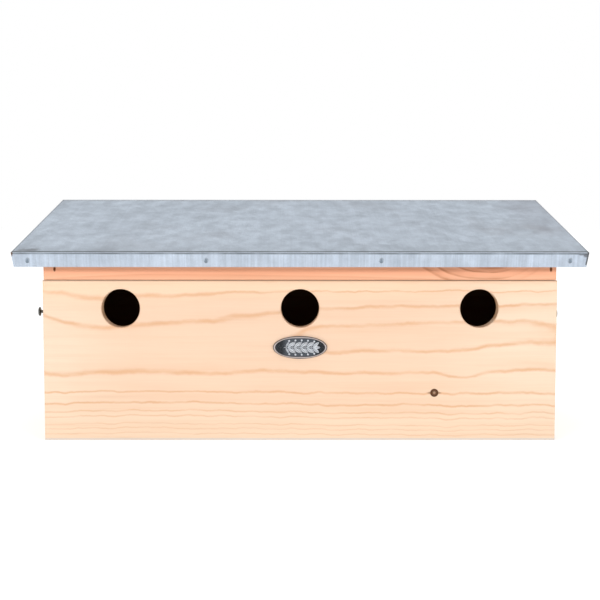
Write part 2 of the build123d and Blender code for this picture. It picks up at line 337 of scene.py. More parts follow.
# How much closer the rings lie above the figure, towards the right end
CLOSER_ABOVE = 5.5
# Small knot, and the dip that the ring above it makes
KNOT_X, KNOT_Z = 112.2, 40.0
KNOT_RADIUS = 3.4
KNOT_WING_FLAT = 4.5
DIP_X, DIP_Z = 135.0, 57.0
DIP_DEPTH = 4.6
# Early wood over the face, and the painted shade along its upper and lower edge
FRONT_EARLY = (0.775, 0.562, 0.412)
FRONT_EARLY_ENDS = (0.785, 0.61, 0.46)
FRONT_EARLY_FOOT = (0.785, 0.60, 0.445)
FRONT_EARLY_HEAD = (0.785, 0.59, 0.425)
FRONT_LATE = (0.675, 0.405, 0.24)
UPPER_EDGE_SHADE, LOWER_EDGE_SHADE = (0.42, 0.30, 0.21), (0.52, 0.54, 0.55)


def along_board(g, share, table, low, high):
    """A value that follows a table along the board's width, from low to high."""
    width = 2000.0 * HALF_BODY
    points = [(x / width + 0.5, (value - low) / (high - low)) for x, value in table]
    return g.add(g.times(g.curve(share, points), high - low), low)


def wavy_height(g, x, z):
    """The height on the board's face as the rings follow it: wavy, with a dip over the knot."""
    waves = g.noise(g.join(g.times(x, 0.014), 0.0, g.times(z, 0.022)), detail=2.0)
    ripples = g.noise(g.join(g.times(x, 0.05), 3.0, g.times(z, 0.03)), detail=1.0)
    z = g.add(z, g.times(g.less(waves, 0.5), 3.5))
    z = g.add(z, g.times(g.less(ripples, 0.5), 4.2))
    jitter = g.noise(g.join(g.times(x, 0.16), 5.0, g.times(z, 0.08)), detail=2.0, roughness=0.6)
    z = g.add(z, g.times(g.less(jitter, 0.5), 1.6))
    beside = g.span(g.math("ABSOLUTE", g.less(x, DIP_X)), 0.0, 26.0, 1.0, 0.0)
    level = g.span(g.math("ABSOLUTE", g.less(z, DIP_Z)), 0.0, 14.0, 1.0, 0.0)
    return g.add(z, g.times(g.times(beside, level), DIP_DEPTH))


def board_rings(g, x, y, face_z):
    """The front board's rings: one arch in its right half, flatter lines above and below it."""
    width = 2000.0 * HALF_BODY
    share = g.math("DIVIDE", g.add(x, width / 2), width)
    z = wavy_height(g, x, face_z)
    away = g.math("ABSOLUTE", g.less(z, FIGURE_MIDDLE))
    near = g.span(away, 28.0, 48.0, 1.0, 0.0)
    core = g.span(away, 17.0, 24.0, 1.0, 0.0)
    line = along_board(g, share, FIGURE_LINE, LINE_LOW, LINE_HIGH)
    arch = along_board(g, share, ARCH_LINE, LINE_LOW, LINE_HIGH)
    line = g.add(line, g.times(core, g.less(arch, line)))
    line = g.less(line, FIGURE_MIDDLE)
    spread = along_board(g, share, FIGURE_SPREAD, 0.0, SPREAD_HIGH)
    arch_spread = along_board(g, share, ARCH_SPREAD, 0.0, SPREAD_HIGH)
    spread = g.add(spread, g.times(core, g.less(arch_spread, spread)))
    spread = g.times(spread, g.add(g.times(near, 0.38), 0.62))
    across = g.less(g.less(z, FIGURE_MIDDLE), g.times(line, near))
    rightwards = g.span(x, -150.0, 60.0, 0.2, 1.0)
    across = g.add(across, g.times(g.span(across, 28.0, 48.0, 0.0, CLOSER_ABOVE), rightwards))
    deep = g.add(g.less(g.times(y, -1.0), -1000.0 * FRONT_Y), PITH_DEPTH)
    square = g.less(g.add(g.times(across, across), g.times(deep, deep)), spread)
    radius = g.math("SQRT", square)
    position = g.math("DIVIDE", g.less(radius, RING_FIRST), RING_LAST - RING_FIRST)
    rings = g.ramp(position, ring_stops(FIGURE_RINGS, FIGURE_EDGE, RING_FIRST, RING_LAST), "EASE")
    # The innermost ring ends in a nose left of the middle
    nose = g.times(g.span(x, -60.0, -22.0, 1.0, 0.0), g.span(radius, 59.0, 60.5, 1.0, 0.0))
    rings = g.times(rings, g.less(1.0, nose))
    # Fainter above the entrances, and uneven along each line
    upper = g.times(g.span(across, 27.0, 33.0, 1.0, 0.88), g.span(face_z, 128.0, 131.0, 1.0, 0.3))
    rings = g.times(rings, upper)
    patches = g.join(g.times(x, 0.03), 7.0, g.times(face_z, 0.12))
    patches = g.noise(patches, detail=3.0, roughness=0.6)
    return g.times(rings, g.span(patches, 0.32, 0.62, 0.55, 1.05))


def board_tones(g, x, z):
    """The colour of the front board's early wood: paler at its ends, with painted shade at its top and
    bottom.
    """
    ends = g.span(g.math("ABSOLUTE", g.add(x, 20.0)), 110.0, 200.0)
    early = g.mix(ends, FRONT_EARLY, FRONT_EARLY_ENDS)
    early = g.mix(g.span(z, 12.0, 40.0, 1.0, 0.0), early, FRONT_EARLY_FOOT)
    head = g.times(g.span(z, 112.0, 128.0), g.span(x, 80.0, 150.0, 1.0, 0.15))
    early = g.mix(head, early, FRONT_EARLY_HEAD)
    # Painted shadow in the seam under the rail, and painted shade on the eased lower edge
    early = g.mix(g.span(z, 132.2, 133.8, 0.0, 0.6), early, UPPER_EDGE_SHADE)
    return g.mix(g.span(z, 0.9, 2.4, 0.6, 0.0), early, LOWER_EDGE_SHADE)


def small_knot(g, x, y, z):
    """A small knot on the board's face: a ring of bark, a paler middle and a wing on each side."""
    on_face = g.math("LESS_THAN", y, 1000.0 * FRONT_Y + 3.0)
    right, up = g.less(x, KNOT_X), g.less(z, KNOT_Z)
    reach = g.math("DIVIDE", g.length(right, up), KNOT_RADIUS * 1.4)
    bark = ((0.0, 0.5), (0.14, 0.55), (0.3, 0.94), (0.66, 1.0), (0.78, 0.0), (1.0, 0.0))
    wing = g.span(g.length(right, g.times(up, KNOT_WING_FLAT)), 3.4, 7.2, 0.6, 0.0)
    return g.times(g.math("MAXIMUM", g.ramp(reach, bark, "EASE"), wing), on_face)


def front_board_pine():
    """The front board: flat-sawn, with one arch of rings in its right half and a small knot."""
    g = Graph("pine_front")
    x, y, z = g.millimetres()
    rings = board_rings(g, x, y, z)
    early = board_tones(g, x, z)
    return wood_finish(g, rings, 0, early, FRONT_LATE, depth=0.95, knot=small_knot(g, x, y, z))


# The rail's figure: arcs of rings round a knot that was sawn away, in millimetres
ARC_X, ARC_Z = 157.7, 153.4
ARC_UPRIGHT, ARC_RIGHT = 2.6, 1.3
ARC_RINGS = ((35.0, 1.0, 1.0), (49.5, 1.0, 1.0), (59.8, 1.0, 1.0))
ARC_EDGE = ((-4.6, 0.3), (-1.2, 1.0), (1.4, 0.0))
ARC_REACH = 80.0
# A dark lens in the middle of the arcs
LENS_Z, LENS_HALF_WIDTH, LENS_HALF_HEIGHT = 145.6, 18.0, 3.2
RAIL_EARLY, RAIL_LATE = (0.775, 0.395, 0.247), (0.43, 0.19, 0.09)
RAIL_FOOT, RAIL_FLANGE_SHADOW = (0.79, 0.445, 0.29), (0.46, 0.37, 0.31)
RAIL_PITH = (0, 0.02, 0.10)
# Half width and half height of the brown stain round each nail
NAIL_STAIN = (1.1, 2.1)
NAIL_BROWN = (0.13, 0.045, 0.015)


def rail_arcs(g, x, z):
    """Arcs of late wood that hang from the rail's upper edge, bolder on their left."""
    drift = g.noise(g.stretch(g.place, (30.0, 30.0, 60.0)), detail=2.0)
    right = g.less(x, ARC_X)
    uneven = g.math("MAXIMUM", g.times(right, ARC_RIGHT), g.times(right, -1.0))
    up = g.times(g.less(z, ARC_Z), ARC_UPRIGHT)
    reach = g.add(g.length(uneven, up), g.times(g.less(drift, 0.5), 9.0))
    stops = ring_stops(ARC_RINGS, ARC_EDGE, 0.0, ARC_REACH)
    arcs = g.ramp(g.math("DIVIDE", reach, ARC_REACH), stops, "EASE")
    fading = g.noise(g.stretch(g.place, (60.0, 60.0, 90.0)), detail=1.0)
    arcs = g.times(arcs, g.span(fading, 0.35, 0.6, 0.55, 1.0))
    arcs = g.times(arcs, g.span(x, ARC_X, ARC_X + 22.0, 1.0, 0.2))
    lens_x = g.math("DIVIDE", right, LENS_HALF_WIDTH)
    lens_z = g.math("DIVIDE", g.less(z, LENS_Z), LENS_HALF_HEIGHT)
    lens = g.length(lens_x, lens_z)
    return g.math("MAXIMUM", arcs, g.span(lens, 0.4, 1.1, 0.95, 0.0))


def rail_pine():
    """The top rail: redder pine, arcs near its right end, a stain round each nail, painted shadow
    under the flange.
    """
    g = Graph("pine_rail")
    x, _, z = g.millimetres()
    radius = log_radius(g, 0, RAIL_PITH, 0.004)
    rings = g.times(ring_lines(g, radius, RING_WIDTH, 0.3), 0.35)
    rings = g.math("MAXIMUM", rail_arcs(g, x, z), rings)
    # Paler towards its foot, with a grey band of painted shadow under the roof sheet's flange
    early = g.mix(g.span(z, 135.0, 140.0, 1.0, 0.0), RAIL_EARLY, RAIL_FOOT)
    early = g.mix(g.span(z, 142.5, 145.0, 0.0, 0.4), early, RAIL_FLANGE_SHADOW)
    # A darker band of painted shadow round 142.8 mm, under the flange
    tone = g.span(g.math("ABSOLUTE", g.less(z, 142.8)), 0.4, 2.6, 0.87, 1.0)
    # A little darker towards the right end
    tone = g.times(tone, g.span(x, 60.0, 150.0, 1.0, 0.965))
    stains = 0.0
    for places in solids_of("rail_nails"):
        nail = 1000.0 * places.mean(axis=0)
        offset_x = g.math("DIVIDE", g.less(x, nail[0]), NAIL_STAIN[0])
        offset_z = g.math("DIVIDE", g.less(z, nail[2]), NAIL_STAIN[1])
        stain = g.span(g.length(offset_x, offset_z), 0.7, 1.3, 0.9, 0.0)
        stains = g.math("MAXIMUM", stains, stain)
    return wood_finish(g, rings, 0, early, RAIL_LATE, tone=tone, knot=stains, bark=NAIL_BROWN)


# Metal

ZINC_DULL = (0.505, 0.57, 0.65)
ZINC_BRIGHT = (0.64, 0.715, 0.805)
FLANGE_SHADE = (0.755, 0.765, 0.785)
SMUDGE = (0.32, 0.32, 0.345)
END_SMUDGE = (0.30, 0.30, 0.35)
BACK_EDGE = (0.40, 0.41, 0.415)
BEHIND_FOLD_REFLECTION, UNDER_FOLD_REFLECTION = (0.12, 0.14, 0.15), (0.13, 0.15, 0.17)
SIDE_FOLD = (0.17, 0.18, 0.19)
FLANGE_END_DARK = (0.055, 0.052, 0.05)
NAIL_RING_DARK = (0.16, 0.18, 0.20)
NAIL_HEAD_SHADE = (0.12, 0.16, 0.20)
# Dark marks at the sheet's front corners: place, half sizes, colour and depth, in millimetres
CORNER_MARKS = (
    ((-232.2, -103.2, 157.0), (1.6, 3.0, 2.2), (0.10, 0.05, 0.025), 0.9),
    ((-222.0, -95.0, 160.0), (10.0, 6.0, 3.0), (0.15, 0.15, 0.16), 0.55),
    ((229.6, -103.2, 155.8), (2.2, 2.2, 1.7), (0.07, 0.07, 0.08), 0.75),
    ((227.0, -103.2, 156.4), (4.6, 2.0, 0.8), (0.10, 0.11, 0.13), 0.7),
)


def smudged(g, colour, x, girth, top, cloud):
    """Darkens the top of the sheet in clouds, most at its right end and its back edge."""
    colour = g.shade(colour, g.add(1.0, g.times(top, g.span(girth, 6.0, 45.0, -0.12, -0.02))))
    smudge = g.noise(g.stretch(g.place, (0.9, 0.7, 1.1)), scale=15.0, detail=5.0, roughness=0.6)
    smudge = g.times(g.span(smudge, 0.48, 0.72), top)
    colour = g.mix(g.times(smudge, g.span(x, 60.0, 190.0, 0.22, 0.48)), colour, SMUDGE)
    end = g.times(g.span(g.add(x, g.times(g.less(cloud, 0.5), 70.0)), 185.0, 215.0), top)
    end = g.times(end, g.span(girth, 40.0, 150.0, 0.25, 1.0))
    colour = g.mix(g.times(end, 0.24), colour, END_SMUDGE)
    return g.mix(g.span(girth, 238.0, 250.0, 0.0, 0.4), colour, BACK_EDGE)


def fold_reflections(g, colour, x, girth, not_side):
    """Painted reflections on the front fold: a dark line behind the bend and one under it, and painted
    shade on the bend.
    """
    breaks = g.noise(g.join(g.times(x, 0.035), 0.0, 0.0), detail=3.0)
    behind = g.times(g.band(girth, 1.6, 2.4, 4.6, 6.6), not_side)
    under = g.times(g.band(girth, -1.25, -1.0, -0.3, 0.0), not_side)
    bend_shade = g.times(g.band(girth, -0.2, 0.1, 1.6, 2.4), not_side)
    colour = g.mix(g.times(behind, g.span(breaks, 0.3, 0.6, 0.72, 0.97)), colour, BEHIND_FOLD_REFLECTION)
    colour = g.mix(g.times(under, g.span(breaks, 0.35, 0.7, 0.95, 0.5)), colour, UNDER_FOLD_REFLECTION)
    # Painted shade on the bend: darker left of the middle, a little lighter right of it
    return g.mix(bend_shade, colour, g.shade(colour, g.span(x, -60.0, 20.0, 0.86, 1.03)))


def end_marks(g, colour, x, rise, top, front_face):
    """Dull lines on the side folds, and a dark line down the right end of the front flange."""
    half = g.add(1000.0 * SHEET_HIGH.x, g.times(g.math("MINIMUM", rise, 0.0), FLANGE_LEAN))
    from_end = g.less(half, g.math("ABSOLUTE", x))
    side_line = g.times(g.span(from_end, 0.4, 1.6, 1.0, 0.0), top)
    colour = g.mix(g.times(side_line, 0.5), colour, SIDE_FOLD)
    right_end = g.times(g.span(from_end, 0.9, 1.8, 1.0, 0.0), g.math("GREATER_THAN", x, 0.0))
    right_end = g.times(g.times(right_end, front_face), g.span(rise, -10.5, -9.5))
    return g.mix(g.times(right_end, 0.85), colour, FLANGE_END_DARK)


def stained(g, colour, place, mottle, front_face):
    """Dark marks at the front corners, and a dark ring a little above each nail of the front flange.
    """
    for middle, radius, tint, depth in CORNER_MARKS:
        offset = [g.math("DIVIDE", g.less(part, centre), size)
                  for part, centre, size in zip(place, middle, radius)]
        reach = g.add(g.length(*offset), g.times(g.less(mottle, 0.5), 2.6))
        colour = g.mix(g.span(reach, 0.35, 1.25, depth, 0.0), colour, tint)
    for nail_x, nail_z in front_nail_places():
        offset_x = g.times(g.less(place[0], 1000.0 * nail_x + 0.3), 1.3)
        offset_z = g.less(place[2], 1000.0 * nail_z + 0.8)
        ring = g.times(g.span(g.length(offset_x, offset_z), 1.6, 2.6, 0.5, 0.0), front_face)
        colour = g.mix(ring, colour, NAIL_RING_DARK)
    return colour


def zinc_sheet():
    """Mottled galvanised sheet drawn up the slope; painted shade on its flanges, painted reflections
    and dark lines at its folds.
    """
    g = Graph("zinc_sheet")
    x, y, z = g.millimetres()
    rise = g.less(z, 1000.0 * FOLD_HEIGHT)
    from_front = g.less(y, 1000.0 * SHEET_LOW.y)
    girth = g.add(from_front, rise)
    not_side = g.span(g.math("ABSOLUTE", g.split(g.normal)[0]), 0.5, 0.8, 1.0, 0.0)
    top = g.times(g.span(girth, -0.6, 0.6), not_side)
    front_face = g.math("LESS_THAN", from_front, 2.2)
    mottle = g.noise(g.stretch(g.place, (0.8, 0.55, 0.9)), scale=105.0, detail=6.0, roughness=0.66)
    cloud = g.noise(g.stretch(g.place, (0.9, 0.6, 1.0)), scale=18.0, detail=4.0)
    fine_lines = g.noise(g.stretch(g.place, (760.0, 5.0, 24.0)), detail=3.0, roughness=0.65)
    broad_lines = g.noise(g.stretch(g.place, (150.0, 3.0, 12.0)), detail=2.0)
    grain = g.noise(g.place, scale=900.0, detail=2.0)
    colour = g.mix(g.span(mottle, 0.22, 0.8), ZINC_DULL, ZINC_BRIGHT)
    colour = g.shade(colour, g.span(cloud, 0.3, 0.7, 0.94, 1.05))
    streaked = g.shade(colour, g.span(fine_lines, 0.3, 0.7, 0.90, 1.08))
    streaked = g.shade(streaked, g.span(broad_lines, 0.3, 0.7, 0.93, 1.05))
    colour = g.mix(g.span(top, 0.0, 1.0, 1.0, 0.2), colour, streaked)
    # Painted shade: the flanges are darker than the top of the same sheet
    colour = g.mix(top, g.mix(1.0, colour, FLANGE_SHADE, "MULTIPLY"), colour)
    colour = g.shade(colour, g.span(grain, 0.3, 0.7, 0.97, 1.03))
    colour = smudged(g, colour, x, girth, top, cloud)
    colour = fold_reflections(g, colour, x, girth, not_side)
    colour = end_marks(g, colour, x, rise, top, front_face)
    colour = stained(g, colour, (x, y, z), mottle, front_face)
    height = g.add(g.times(fine_lines, 0.5), g.times(grain, 0.2))
    g.bump(g.add(g.times(mottle, 0.4), height), 0.0001, 0.5)
    return g.finish(colour, g.span(mottle, 0.3, 0.7, 0.42, 0.56), 0.6)


def plain_metal(name, colour, roughness=0.45, metallic=0.85, shine=0.5):
    """Dull metal with a little dirt in it."""
    g = Graph(name)
    g.shader.inputs["Specular IOR Level"].default_value = shine
    dirt = g.noise(g.place, scale=420.0, detail=4.0, roughness=0.6)
    grain = g.noise(g.place, scale=2600.0, detail=2.0)
    shaded = g.shade(colour, g.span(dirt, 0.3, 0.75, 0.7, 1.15))
    g.bump(grain, 0.00004, 0.5)
    return g.finish(shaded, g.span(dirt, 0.3, 0.7, roughness - 0.08, roughness + 0.1), metallic)


def nail_head_metal():
    """A zinc nail head, with painted shade below its middle."""
    g = Graph("nail_head")
    grain = g.noise(g.place, scale=2200.0, detail=2.0)
    colour = g.shade(ZINC_BRIGHT, g.span(grain, 0.3, 0.7, 0.66, 0.77))
    return g.finish(g.mix(g.attribute("head_shade"), colour, NAIL_HEAD_SHADE), 0.5, 0.6)


# Where the badge's ground turns darker towards its ends, in metres
BADGE_DARKER = (0.010, 0.016)
BADGE_GROUND, BADGE_END_GROUND = (0.06, 0.07, 0.083), (0.010, 0.012, 0.015)
BADGE_RAISED = (0.55, 0.58, 0.62)
BADGE_RIM = (0.47, 0.415, 0.40)


def badge_metal():
    """Cast metal: bright where it stands out, dark patina in its hollows."""
    g = Graph("badge_metal")
    dirt = g.noise(g.place, scale=900.0, detail=4.0, roughness=0.65)
    grain = g.noise(g.place, scale=3200.0, detail=2.0)
    raised = g.add(g.attribute("relief"), g.times(g.less(dirt, 0.5), 0.9))
    ends = g.span(g.math("ABSOLUTE", g.split(g.place)[0]), *BADGE_DARKER)
    ground = g.mix(ends, BADGE_GROUND, BADGE_END_GROUND)
    colour = g.mix(g.span(raised, 0.0, 0.7), ground, BADGE_RAISED)
    colour = g.mix(g.times(g.attribute("rim"), 0.95), colour, BADGE_RIM)
    g.bump(g.add(g.times(dirt, 0.6), grain), 0.00005, 0.6)
    return g.finish(colour, g.span(dirt, 0.3, 0.7, 0.36, 0.55), 0.55)


# Pieces finer than the solids they stand for


def weld(points):
    """Numbers the places of points, those on one spot as one, and lists each point's number."""
    numbers, owner = {}, []
    for point in points:
        place = tuple(round(part, 6) for part in point)
        owner.append(numbers.setdefault(place, len(numbers)))
    return numbers, owner


def solids_of(name):
    """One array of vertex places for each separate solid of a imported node."""
    mesh = nodes[name].data
    numbers, owner = weld([vertex.co for vertex in mesh.vertices])
    lead = list(range(len(numbers)))

    def find(index):
        while lead[index] != index:
            lead[index] = lead[lead[index]]
            index = lead[index]
        return index

    for edge in mesh.edges:
        a, b = (find(owner[index]) for index in edge.vertices)
        lead[a] = b
    groups = {}
    for place, index in numbers.items():
        groups.setdefault(find(index), []).append(place)
    return [np.array(group) for group in groups.values()]


def nail_axes():
    """The outer end and the outward direction of each nail in the sheet's flanges."""
    axes = []
    for places in solids_of("flange_nails"):
        middle = places.mean(axis=0)
        direction = np.linalg.svd(places - middle)[2][0]
        if direction[0] * middle[0] + direction[1] * middle[1] < 0:
            direction = -direction
        reach = (places - middle) @ direction
        spread = places[reach > reach.max() - 0.0001].mean(axis=0)
        axes.append((Vector(spread), Vector(direction)))
    return sorted(axes, key=lambda axis: (round(axis[0].x, 3), axis[0].y))


def front_nail_places():
    """Where the heads of the front flange's nails are, as x and z."""
    return [(end.x, end.z) for end, direction in nail_axes() if direction.y < -0.7]


def mesh_piece(name, points, faces, material, node, sharp=35.0):
    """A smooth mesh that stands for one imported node."""
    mesh = bpy.data.meshes.new(name)
    mesh.from_pydata(points, [], faces)
    mesh.materials.append(material)
    mesh.polygons.foreach_set("use_smooth", [True] * len(mesh.polygons))
    mesh.set_sharp_from_angle(angle=math.radians(sharp))
    mesh.update()
    piece = bpy.data.objects.new(name, mesh)
    bpy.context.scene.collection.objects.link(piece)
    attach(piece, "root")
    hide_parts(node)
    return piece


def grid_faces(first, rows, around):
    """The faces of rows of points that each run round in a closed loop."""
    faces = []
    for row in range(rows - 1):
        for step in range(around):
            a = first + row * around + step
            b = first + row * around + (step + 1) % around
            faces.append((a, b, b + around, a + around))
    return faces


def turned(points, faces, end, direction, rows, around):
    """Adds a closed shape made of rows round an axis: each row is radii and depths under end."""
    turn = direction.to_track_quat("Z", "Y").to_matrix()
    first = len(points)
    for row in rows:
        for step, (radius, depth) in enumerate(row):
            angle = 2 * math.pi * step / around
            local = Vector((radius * math.cos(angle), radius * math.sin(angle), -depth))
            points.append(end + turn @ (local * 0.001))
    faces.extend(grid_faces(first, len(rows), around))
    faces.append(tuple(first + step for step in range(around))[::-1])
    last = first + (len(rows) - 1) * around
    faces.append(tuple(last + step for step in range(around)))


# Radius of a clout nail and depth under the crown of its head, in millimetres
NAIL_PROFILE = (
    (0.15, 0.0), (0.6, 0.03), (1.05, 0.12), (1.4, 0.25), (1.65, 0.4), (1.78, 0.52), (1.8, 0.6),
    (1.76, 0.69), (1.62, 0.7), (0.85, 0.7), (0.7, 0.8), (0.7, 8.0), (0.15, 9.7),
)
NAIL_STEPS = 28
# Painted shade on a nail's head: how far below its middle, how much it is squeezed, and its radius
SHADE_DROP, SHADE_UPRIGHT, SHADE_RADIUS = 0.45, 0.62, 1.15
SHADE_MOST = 0.85


def flange_nail_heads():
    """Clout nails with low domed heads, each with its own painted shade."""
    points, faces, head_shade = [], [], []
    rows = [[place] * NAIL_STEPS for place in NAIL_PROFILE]
    for end, direction in nail_axes():
        first = len(points)
        turned(points, faces, end, direction, rows, NAIL_STEPS)
        for point in points[first:]:
            offset = 1000.0 * (point - end)
            reach = math.hypot(offset.x, offset.y, (offset.z + SHADE_DROP) * SHADE_UPRIGHT)
            # Painted shade, darkest a little below the head's middle
            head_shade.append(min(SHADE_MOST, max(0.0, 1.7 - reach / SHADE_RADIUS)))
    piece = mesh_piece("domed_flange_nails", points, faces, nail_head_metal(), "flange_nails")
    layer = piece.data.attributes.new("head_shade", "FLOAT", "POINT")
    layer.data.foreach_set("value", head_shade)


# Screw, in millimetres
SCREW_STEPS = 72
THREAD_PITCH, THREAD_DEPTH = 1.35, 0.42
SHANK_RADIUS = 1.6
HEAD_HEIGHT, HEAD_CORNER, HEAD_DOME = 1.4, 1.0, 0.12
HEAD_RINGS, CORNER_RINGS = 36, 8
POINT_LENGTH = 4.0
RECESS_SPAN, RECESS_WIDTH, RECESS_DEPTH = 4.2, 1.0, 0.9


def recess_depth(x, y):
    """How deep the cross recess is at a place on the screw's head."""
    along, across = max(abs(x), abs(y)), min(abs(x), abs(y))
    if along > RECESS_SPAN / 2 or across > RECESS_WIDTH / 2:
        return 0.0
    return RECESS_DEPTH * min(1.0, (RECESS_SPAN / 2 - along) / 0.5 + 0.25)


def threaded_screw(node, side, material):
    """A pan-head screw with a cross recess and a thread."""
    low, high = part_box(node)
    radius = 500.0 * (high.z - low.z)
    length = 1000.0 * (high.x - low.x)
    end = Vector((high.x if side > 0 else low.x, (low.y + high.y) / 2, (low.z + high.z) / 2))
    rows = []
    # Domed face of the head, with its recess
    flat = radius - HEAD_CORNER
    for step in range(1, HEAD_RINGS + 1):
        reach = flat * step / HEAD_RINGS
        row = []
        for turn in range(SCREW_STEPS):
            angle = 2 * math.pi * turn / SCREW_STEPS
            dip = recess_depth(reach * math.cos(angle), reach * math.sin(angle))
            row.append((reach, HEAD_DOME * (reach / flat) ** 2 + dip))
        rows.append(row)
    # Rounded corner and underside of the head
    for step in range(1, CORNER_RINGS + 1):
        angle = math.pi / 2 * step / CORNER_RINGS
        reach = flat + HEAD_CORNER * math.sin(angle)
        rows.append([(reach, HEAD_DOME + HEAD_CORNER * (1 - math.cos(angle)))] * SCREW_STEPS)
    rows.append([(radius, HEAD_HEIGHT - 0.1)] * SCREW_STEPS)
    rows.append([(radius - 0.15, HEAD_HEIGHT)] * SCREW_STEPS)
    rows.append([(SHANK_RADIUS + 0.3, HEAD_HEIGHT)] * SCREW_STEPS)
    # Threaded shank down to its point
    steps = int((length - HEAD_HEIGHT - 0.3) / THREAD_PITCH * 10)
    for step in range(steps):
        depth = HEAD_HEIGHT + 0.1 + (length - HEAD_HEIGHT - 0.2) * step / (steps - 1)
        taper = min(1.0, (length - depth) / POINT_LENGTH)
        row = []
        for turn in range(SCREW_STEPS):
            part = (depth / THREAD_PITCH - turn / SCREW_STEPS) % 1.0
            ridge = max(0.0, 1.0 - abs(part - 0.5) * 3.2)
            row.append((max(0.1, (SHANK_RADIUS - THREAD_DEPTH * (1 - ridge)) * taper), depth))
        rows.append(row)
    points, faces = [], []
    turned(points, faces, end, Vector((side, 0, 0)), rows, SCREW_STEPS)
    piece = mesh_piece("threaded_" + node, points, faces, material, node, 30.0)


# Badge, in millimetres: the height of its ground and of the sprig on it, its rim and its leaves
BADGE_RINGS, BADGE_STEPS = 96, 440
GROUND_HEIGHT, SPRIG_RAISED = 1.15, 0.5
RIM_MIDDLE, RIM_HALF = 1.1, 0.72
GROOVE_INSET = 2.3
SPRIG_LONG = 27.0
LEAF_PITCH = 5.2
LEAF_LONG, LEAF_WIDE = 7.2, 2.9
SMALL_LEAF_LONG, SMALL_LEAF_WIDE = 6.2, 1.7
TIP_LEAF_LONG, TIP_LEAF_WIDE = 6.0, 2.6
LEAF_TILT = 40.0
BERRY_RADIUS = 0.85


def leaf_height(x, z, foot_x, foot_z, angle, length, wide):
    """The relief of one leaf: a rounded lens with a sunk midrib and veins."""
    u = (x - foot_x) * math.cos(angle) + (z - foot_z) * math.sin(angle)
    v = -(x - foot_x) * math.sin(angle) + (z - foot_z) * math.cos(angle)
    share = np.clip(u / length, 0.0, 1.0)
    half = 0.5 * wide * np.sin(math.pi * share) + 1e-6
    dome = np.sqrt(np.clip(1.0 - (v / half) ** 2, 0.0, 1.0))
    veins = 0.3 * np.cos(2 * math.pi * (u + 0.9 * np.abs(v)) / 1.1)
    midrib = 0.7 * np.exp(-((v / 0.2) ** 2))
    return np.where((u > 0) & (u < length), dome * (0.9 - midrib + veins), 0.0)


def berry_height(x, z, place_x, place_z):
    """The relief of one round berry."""
    reach = np.hypot(x - place_x, z - place_z) / BERRY_RADIUS
    return np.sqrt(np.clip(1.0 - reach ** 2, 0.0, 1.0))


def badge_relief(x, z, half_x, half_z):
    """The badge's relief at places on its face, 0 on the ground to 1 on the sprig, and its rim."""
    reach = np.sqrt((x / half_x) ** 2 + (z / half_z) ** 2)
    inward = (1.0 - reach) * np.hypot(x, z) / np.maximum(reach, 1e-6)
    stem = np.clip(1.0 - np.abs(z) / 0.42, 0.0, 1.0)
    relief = np.where(np.abs(x) < SPRIG_LONG / 2, stem, 0.0)
    for step in range(-2, 3):
        foot = step * LEAF_PITCH
        berry_x = foot + 1.4
        berry_z = 0.84 * (half_z - GROOVE_INSET) * math.sqrt(1.0 - (berry_x / half_x) ** 2)
        for turn in (1, -1):
            tilt = turn * math.radians(LEAF_TILT)
            leaf = leaf_height(x, z, foot, 0.0, tilt, LEAF_LONG, LEAF_WIDE)
            small = leaf_height(x, z, foot - 1.6, 0.0, 1.5 * tilt, SMALL_LEAF_LONG, SMALL_LEAF_WIDE)
            berry = berry_height(x, z, berry_x, turn * berry_z)
            for height in (leaf, small, berry):
                relief = np.maximum(relief, height)
    tip = leaf_height(x, z, SPRIG_LONG / 2 - 2.5, 0.0, 0.0, TIP_LEAF_LONG, TIP_LEAF_WIDE)
    relief = np.maximum(relief, tip)
    relief = np.where(inward < GROOVE_INSET, 0.0, relief)
    # The rim's colour stops short of the outer edge, where the dark ground shows as painted contact
    # shadow
    rim = np.clip(1.0 - ((inward - RIM_MIDDLE) / RIM_HALF) ** 2, 0.0, 1.0)
    return np.clip(relief, 0.0, 1.0), np.sqrt(rim)


def cast_badge(material):
    """The oval badge: a raised rim round a sprig of leaves with berries on a dark ground."""
    low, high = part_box("badge")
    middle = ((low.x + high.x) / 2, (low.z + high.z) / 2)
    half_x, half_z = 500.0 * (high.x - low.x), 500.0 * (high.z - low.z)
    depth = 1000.0 * (high.y - low.y)
    share = (np.arange(1, BADGE_RINGS + 1) / BADGE_RINGS) ** 0.85
    angle = 2 * math.pi * np.arange(BADGE_STEPS) / BADGE_STEPS
    x = (share[:, None] * half_x * np.cos(angle)).ravel()
    z = (share[:, None] * half_z * np.sin(angle)).ravel()
    relief, rim = badge_relief(x, z, half_x, half_z)
    height = GROUND_HEIGHT + np.maximum(SPRIG_RAISED * relief, (depth - GROUND_HEIGHT) * rim)
    edge = np.repeat(share, BADGE_STEPS)
    height = np.where(edge > 0.999, 0.8 * GROUND_HEIGHT, height)
    points = [
        (middle[0] + px / 1000.0, high.y - h / 1000.0, middle[1] + pz / 1000.0)
        for px, pz, h in zip(x, z, height)
    ]
    last = (BADGE_RINGS - 1) * BADGE_STEPS
    points += [(px, high.y, pz) for px, _, pz in points[last:]]
    faces = grid_faces(0, BADGE_RINGS + 1, BADGE_STEPS)
    faces.append(tuple(range(BADGE_STEPS))[::-1])
    back = BADGE_RINGS * BADGE_STEPS
    faces.append(tuple(back + step for step in range(BADGE_STEPS)))
    piece = mesh_piece("cast_badge", points, faces, material, "badge", 60.0)
    for name, values in (("relief", relief), ("rim", rim)):
        layer = piece.data.attributes.new(name, "FLOAT", "POINT")
        layer.data.foreach_set("value", list(values) + [0.0] * BADGE_STEPS)


